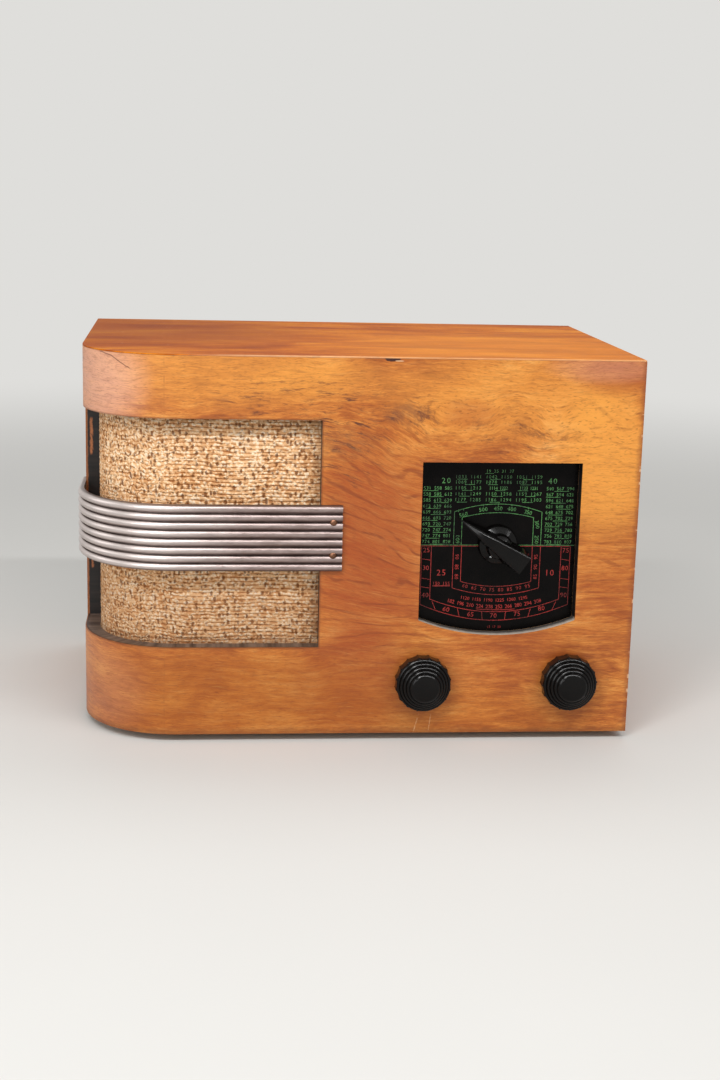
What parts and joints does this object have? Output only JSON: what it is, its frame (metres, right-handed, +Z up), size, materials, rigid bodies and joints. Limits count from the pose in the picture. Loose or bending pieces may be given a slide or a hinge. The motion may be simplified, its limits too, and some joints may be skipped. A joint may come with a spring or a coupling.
{
  "type": "table radio receiver",
  "caption": "Table radio receiver in a veneered cabinet with a rounded grille corner, ribbed metal band, printed dial with a pointer knob, and two control knobs.",
  "frame": {"origin": "middle of the bounding box, on the surface that the rubber feet stand on", "axes": "+X to the right along the front, +Y to the back, +Z up"},
  "size_m": [0.3538, 0.25, 0.246],
  "materials": {
    "veneer": "oiled veneer",
    "plywood": "bare plywood",
    "fibreboard": "pressed fibre",
    "cloth": "coarse weave",
    "card": "card and paper",
    "trim": "satin",
    "can": "satin",
    "steel": "plated",
    "iron": "lacquered laminations",
    "brass": "dull",
    "copper": "varnished winding",
    "bakelite": "polished",
    "paxolin": "laminated board",
    "rubber": "matt",
    "dial": "printed black on its back",
    "glass": "clear",
    "wire": "braided lead"
  },
  "bodies": {
    "cabinet": {"front_wrap": "veneer", "right_side": "veneer", "top_board": "plywood", "top_veneer": "veneer", "bottom_board": "plywood", "battens": "plywood", "back_panel": "fibreboard", "rubber_feet": "rubber", "wood_screws": "brass", "grille_cloth": "cloth", "cloth_former": "plywood", "speaker_baffle": "plywood", "trim_band": "trim", "trim_nails": "brass", "dial_glass": "dial", "dial_backplate": "steel", "dial_clips": "steel", "dial_lamps": "glass", "lamp_holders": "brass", "tuning_stator": "trim", "tuning_insulators": "paxolin", "tuning_frame": "steel", "volume_pot": "steel", "band_switch": "paxolin", "control_nuts": "brass", "chassis": "steel", "machine_bolts": "steel", "valve_sockets": "paxolin", "valve_bases": "bakelite", "valve_glass": "glass", "valve_electrodes": "iron", "valve_caps": "steel", "coil_cans": "can", "smoothing_capacitors": "can", "mains_core": "iron", "mains_winding": "copper", "speaker_basket": "steel", "cone_surround": "card", "magnet_yoke": "iron", "field_coil": "copper", "output_transformer": "iron", "speaker_lead": "wire", "tag_board": "paxolin", "rear_strip": "paxolin", "plug_sockets": "brass", "voltage_selector": "bakelite", "mains_grommet": "rubber"},
    "tuning": {"tuning_knob": "bakelite", "tuning_grub_screw": "steel", "tuning_shaft": "steel", "tuning_rotor": "trim"},
    "volume": {"volume_knob": "bakelite", "volume_grub_screw": "steel", "volume_shaft": "steel"},
    "wave": {"band_knob": "bakelite", "band_grub_screw": "steel", "band_shaft": "steel", "band_rotors": "brass"},
    "cone": {"speaker_cone": "card", "voice_coil": "copper"}
  },
  "joints": [
    {"name": "tuning_turn", "type": "hinge", "parent": "cabinet", "child": "tuning", "pos_m": [0.08925, -0.105, 0.127], "axis": [0, 1, 0], "range_deg": [-34.5, 145.5]},
    {"name": "volume_turn", "type": "hinge", "parent": "cabinet", "child": "volume", "pos_m": [0.04225, -0.105, 0.04], "axis": [0, 1, 0], "range_deg": [0, 300]},
    {"name": "wave_turn", "type": "hinge", "parent": "cabinet", "child": "wave", "pos_m": [0.13625, -0.105, 0.04], "axis": [0, 1, 0], "range_deg": [0, 60]},
    {"name": "cone_travel", "type": "slide", "parent": "cabinet", "child": "cone", "axis": [0, 1, 0], "range_m": [-0.001, 0.001], "stiffness_N_per_m": 1000}
  ]
}
